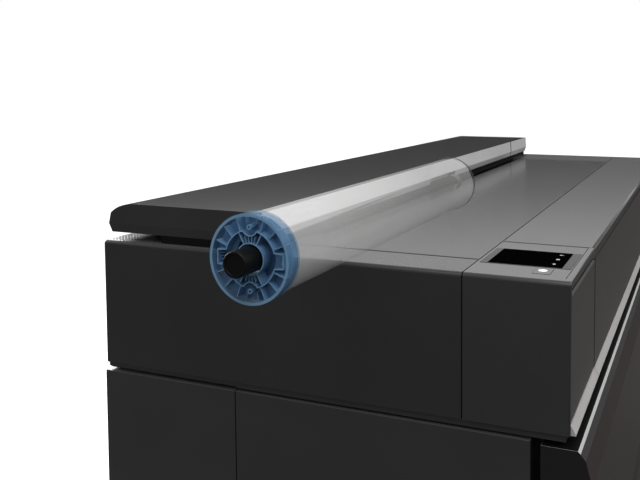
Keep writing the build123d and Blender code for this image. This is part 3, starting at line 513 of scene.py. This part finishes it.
class Shape:
    """Collects points and faces, each face with the number of its material."""

    def __init__(self):
        self.points, self.faces, self.marks = [], [], []

    def add(self, points):
        """Adds points and gives their numbers."""
        start = len(self.points)
        self.points += [Vector(point) for point in points]
        return list(range(start, len(self.points)))

    def face(self, corners, mark=0):
        """Adds one face, its corners in order round its outer side."""
        self.faces.append(tuple(corners))
        self.marks.append(mark)

    def bridge(self, first, second, mark=0):
        """Quads between two closed loops of the same length."""
        count = len(first)
        for index in range(count):
            after = (index + 1) % count
            self.face((first[index], second[index], second[after], first[after]), mark)

    def piece(self, name, body, materials):
        """Makes the piece, which rides on a body and takes its finish from a slot."""
        mesh = bpy.data.meshes.new(name)
        mesh.from_pydata([tuple(point) for point in self.points], [], self.faces)
        for material in materials:
            mesh.materials.append(material)
        for polygon, mark in zip(mesh.polygons, self.marks):
            polygon.material_index = mark
        mesh.shade_smooth()
        mesh.set_sharp_from_angle(angle=SHARP)
        mesh.validate()
        made = bpy.data.objects.new(name, mesh)
        bpy.context.scene.collection.objects.link(made)
        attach(made, body)
        return made


ROLL_S, ROLL_Z = 507.0, 1161.8     # the roll's axis, from the rear face and from the floor
HUB_R, HUB_INNER, MID_R, HOLE_R, SHAFT_R, PAPER_R = 61.5, 57.6, 39.0, 20.4, 18.0, 58.5
HUB_X = (-257.0, -229.0)
FLANGE_X = (534.0, 541.0)
SPINDLE_END = (-288.0, 572.0)
TURN = 2 * math.pi
WEB = HUB_X[0] + 17                # the hub's floor between its rings
BOSS_AT, BOSS_R, BORE_R = 43.0, 3.8, 1.7
HOLLOW_R, NOTCH_OUT, NOTCH_HALF = 12.0, 51.0, 10.0
MID_HALF = 0.8                     # half the thickness of the hub's middle wall
RIB_COUNT = 16
FAN = (-27, -15, -5, 5, 15, 27)    # angles of the small ribs above and below the spindle
FAN_REACH, FAN_WIDE, FAN_THIN = 31.5, 1.4, 0.9


def on_axis(along, across, rise):
    """A point by its place along the roll, towards the front of the machine, and up."""
    return spot(along, ROLL_S + across, ROLL_Z + rise)


def circle(radius, count=96):
    """Points round a circle."""
    return [(radius * math.cos(TURN * step / count), radius * math.sin(TURN * step / count))
            for step in range(count)]


def wall(shape, outer, inner, near, far, side=0, edge=1):
    """A closed wall between two loops of (across, rise), from near to far along the roll."""
    rings = [shape.add(on_axis(along, *point) for point in path)
             for path, along in ((outer, near), (outer, far), (inner, far), (inner, near))]
    for index, mark in enumerate((side, side, side, edge)):
        shape.bridge(rings[index], rings[(index + 1) % 4], mark)


def rib(shape, angle, reach, near, far, thick=1.3):
    """A thin radial plate between two radii."""
    out = Vector((math.cos(angle), math.sin(angle)))
    over = Vector((-out.y, out.x)) * thick / 2
    corners = [out * reach[0] - over, out * reach[1] - over, out * reach[1] + over, out * reach[0] + over]
    front = shape.add(on_axis(near, *corner) for corner in corners)
    back = shape.add(on_axis(far, *corner) for corner in corners)
    shape.face(front, 1)
    shape.bridge(front, back, 0)
    shape.face(back[::-1], 0)


def wavy(offset):
    """Outline of the hub's middle wall: round, with a hollow under each boss and a notch at each side."""
    hollow, notch, half = HOLLOW_R - offset, NOTCH_OUT + offset, NOTCH_HALF + offset
    radius = MID_R + offset
    path = []
    count = 240
    for step in range(count):
        angle = TURN * step / count
        across, rise = radius * math.cos(angle), radius * math.sin(angle)
        if abs(rise) < half:
            rise = max(-half, min(half, rise))
            across = math.copysign(notch, across)
        elif math.hypot(across, abs(rise) - BOSS_AT) < hollow:
            drop = math.sqrt(max(hollow ** 2 - across ** 2, 0))
            rise = math.copysign(min(abs(rise), BOSS_AT - drop), rise)
        path.append((across, rise))
    return path


def hub_pad(shape, side, near):
    """Boss with its bore, the ribs beside it and the three short ribs in the side notch."""
    boss, bore = ([(x, z + side * BOSS_AT) for x, z in circle(radius, 24)] for radius in (BOSS_R, BORE_R))
    wall(shape, boss, bore, near + 2, WEB)
    floor = shape.add(on_axis(WEB - 6, *point) for point in bore)
    # the bore's floor takes the painted shade
    shape.face(floor, 3)
    for degrees in (-9.5, 9.5):
        rib(shape, side * TURN / 4 + math.radians(degrees), (47.0, HUB_INNER), near + 8, WEB, FAN_THIN)
    start, stop = side * 44.0, side * 50.5
    for middle in (-4.5, 0.0, 4.5):
        low, high = middle - 0.5, middle + 0.5
        corners = [(start, low), (stop, low), (stop, high), (start, high)]
        front = shape.add(on_axis(near + 9, *corner) for corner in corners)
        back = shape.add(on_axis(WEB, *corner) for corner in corners)
        shape.face(front, 1)
        shape.bridge(front, back, 0)


def make_hub():
    """Moulded blue spool hub with rings, ribs, bosses and side notches."""
    near, far = HUB_X
    shape = Shape()
    wall(shape, circle(HUB_R), circle(HUB_INNER), near, far, side=2)
    wall(shape, circle(HUB_INNER - 0.1), circle(MID_R - 8), WEB, WEB + 2, edge=0)
    wall(shape, circle(MID_R + 4), circle(HOLE_R), WEB + 5, WEB + 7, side=3, edge=3)
    wall(shape, wavy(MID_HALF), wavy(-MID_HALF), near + 3, WEB + 5)
    wall(shape, circle(HOLE_R + 1.6, 64), circle(HOLE_R, 64), near + 3, WEB + 7)
    for number in range(RIB_COUNT):
        if number % 4:
            rib(shape, TURN * number / RIB_COUNT, (MID_R + 0.6, HUB_INNER), near + 4, WEB)
    for side in (1, -1):
        for degrees in FAN:
            reach, thick = (MID_R - 0.6, FAN_WIDE) if abs(degrees) == FAN[-1] else (FAN_REACH, FAN_THIN)
            rib(shape, side * TURN / 4 + math.radians(degrees), (HOLE_R + 1, reach), near + 4, WEB + 5, thick)
        hub_pad(shape, side, near)
    # material 1 is a painted highlight on near edges and rib fronts, material 3 painted shade deeper in the
    # hub
    hub = shape.piece("spool_hub", "resting_roll",
                      [MATERIALS["hub_blue"], HUB_EDGE_HIGHLIGHT, HUB_SHELL, HUB_RECESS_SHADE])
    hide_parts("resting_hub")


PAPER_GAP, PAPER_STEPS = 0.5, 40


def make_roll():
    """Ghosted paper: one thin skin, so the machine shows through it."""
    shape = Shape()
    outline = circle(PAPER_R, 128)
    start, length = HUB_X[1] + PAPER_GAP, FLANGE_X[0] - HUB_X[1] - 2 * PAPER_GAP
    rings = [shape.add(on_axis(start + length * step / PAPER_STEPS, *point) for point in outline)
             for step in range(PAPER_STEPS + 1)]
    for first, second in zip(rings, rings[1:]):
        shape.bridge(first, second)
    roll = shape.piece("paper_sleeve", "resting_roll", [MATERIALS["paper_white"]])
    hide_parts("resting_paper_roll")


TURNED_SIDES = 64


def turned(shape, profile, mark=0):
    """A turned solid from (along, radius) points; a radius of 0 closes an end."""
    rings = []
    for along, radius in profile:
        if radius == 0:
            rings.append(shape.add([on_axis(along, 0, 0)]))
        else:
            rings.append(shape.add(on_axis(along, *point) for point in circle(radius, TURNED_SIDES)))
    for first, second in zip(rings, rings[1:]):
        if len(first) == 1:
            for step in range(TURNED_SIDES):
                shape.face((first[0], second[step], second[(step + 1) % TURNED_SIDES]), mark)
        elif len(second) == 1:
            for step in range(TURNED_SIDES):
                shape.face((first[step], second[0], first[(step + 1) % TURNED_SIDES]), mark)
        else:
            shape.bridge(first, second, mark)


CHAMFER, FACE_R, LIP_R = 1.2, 13.6, (14.2, 16.8)     # the spindle's end: a dished face and a raised lip
TEETH, TOOTH_DEPTH = 90, 1.2


def make_spindle():
    """Both ends of the spindle and the toothed flange at its far end."""
    shape = Shape()
    left, right = SPINDLE_END
    root = HUB_X[0] + 20
    turned(shape, [(left + CHAMFER, 0), (left + CHAMFER, FACE_R), (left, LIP_R[0]), (left, LIP_R[1]),
                   (left + CHAMFER, SHAFT_R), (root, SHAFT_R), (root, 0)])
    disc_x = FLANGE_X[1] - 0.4
    turned(shape, [(disc_x, HUB_R - 2.2), (disc_x, 24), (disc_x + 5, 23), (disc_x + 5, SHAFT_R),
                   (right - CHAMFER, SHAFT_R), (right, LIP_R[1]), (right, LIP_R[0]),
                   (right - CHAMFER, FACE_R), (right - CHAMFER, 0)], mark=1)
    count = TEETH * 4
    rim = []
    for step in range(count):
        radius = HUB_R if step % 4 < 2 else HUB_R - TOOTH_DEPTH
        angle = TURN * step / count
        rim.append((radius * math.cos(angle), radius * math.sin(angle)))
    loops = [shape.add(on_axis(along, *point) for point in path) for path, along in (
        (rim, FLANGE_X[0]), (rim, FLANGE_X[1]), (circle(HUB_R - 2.4, count), FLANGE_X[1]))]
    for first, second in zip(loops, loops[1:]):
        shape.bridge(first, second, 1)
    spindle = shape.piece("spindle_ends", "resting_roll", [SHAFT_BLACK, FLANGE_SKIN])
    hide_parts("resting_spindle")


# ---------------------------------------------------------------- small marks
def flat_mark(name, polygons, height, thick, body, material):
    """Thin raised plates from outlines of (along, forward) points."""
    shape = Shape()
    for outline in polygons:
        turns = zip(outline, outline[1:] + outline[:1])
        if sum(a[0] * b[1] - b[0] * a[1] for a, b in turns) < 0:
            outline = outline[::-1]
        low = shape.add(spot(along, forward, height) for along, forward in outline)
        high = shape.add(spot(along, forward, height + thick) for along, forward in outline)
        shape.bridge(low, high)
        shape.face(high[::-1])
        shape.face(low)
    shape.piece(name, body, [material])


GLASS_TOP = 1100.9
SIGN_S = 844.0
SIGN_SCALE = 0.8
SIGN_THICK = 0.12
DROP_R, DROP_CUT, DROP_TIP = 3.4, 2.4, 5.5
ARROW = ((0, -5), (4, 0), (1.3, 0), (1.3, 5), (-1.3, 5), (-1.3, 0), (-4, 0))
HOUSE = ((-4, -4), (1.5, -4), (5.5, 0), (1.5, 4), (-4, 4))


def drop():
    """A round drop with its tip to the right."""
    bowl = [point for point in circle(DROP_R, 24) if point[0] < DROP_CUT]
    return [(DROP_TIP, 0)] + sorted(bowl, key=lambda point: -math.atan2(point[1], -point[0]))


def make_screen_marks():
    """Three plain white signs on the display: an arrow, a house and a drop."""
    signs = [[(middle + along * SIGN_SCALE, SIGN_S + forward * SIGN_SCALE) for along, forward in sign]
             for middle, sign in ((163.6, ARROW), (131.3, HOUSE), (98.2, drop()))]
    flat_mark("screen_signs", signs, GLASS_TOP, SIGN_THICK, "chassis", SCREEN_MARK)


LAMP_X, LAMP_S, LAMP_R = 54.0, 835.2, 7.2
LAMP_BASE, LAMP_THICK = 1100.3, 0.25


def make_key_lamp():
    """The white disc on the power key."""
    disc = [(LAMP_X + x, LAMP_S + z) for x, z in circle(LAMP_R, 40)]
    flat_mark("key_lamp", [disc], LAMP_BASE, LAMP_THICK, "power_button", LAMP_WHITE)


# painted shadow: thin black strips along the deck's cross seams
SEAM_SHADOW_BASE, SEAM_SHADOW_THICK = 1099.9, 0.22
SEAM_SHADOW_STRIPS = (((91.2, 94.6), (352.0, 716.0)), ((238.8, 243.3), (720.5, 876.0)))


def make_seam_shadow_strips():
    """Black strips beside the cross seams of the deck: painted shadow lines along the seams."""
    strips = [[(x0, s0), (x1, s0), (x1, s1), (x0, s1)] for (x0, x1), (s0, s1) in SEAM_SHADOW_STRIPS]
    flat_mark("seam_shadow_strips", strips, SEAM_SHADOW_BASE, SEAM_SHADOW_THICK, "chassis",
              MATERIALS["black_plastic"])


make_hub()
make_roll()
make_spindle()
make_screen_marks()
make_key_lamp()
make_seam_shadow_strips()
finish_nodes()
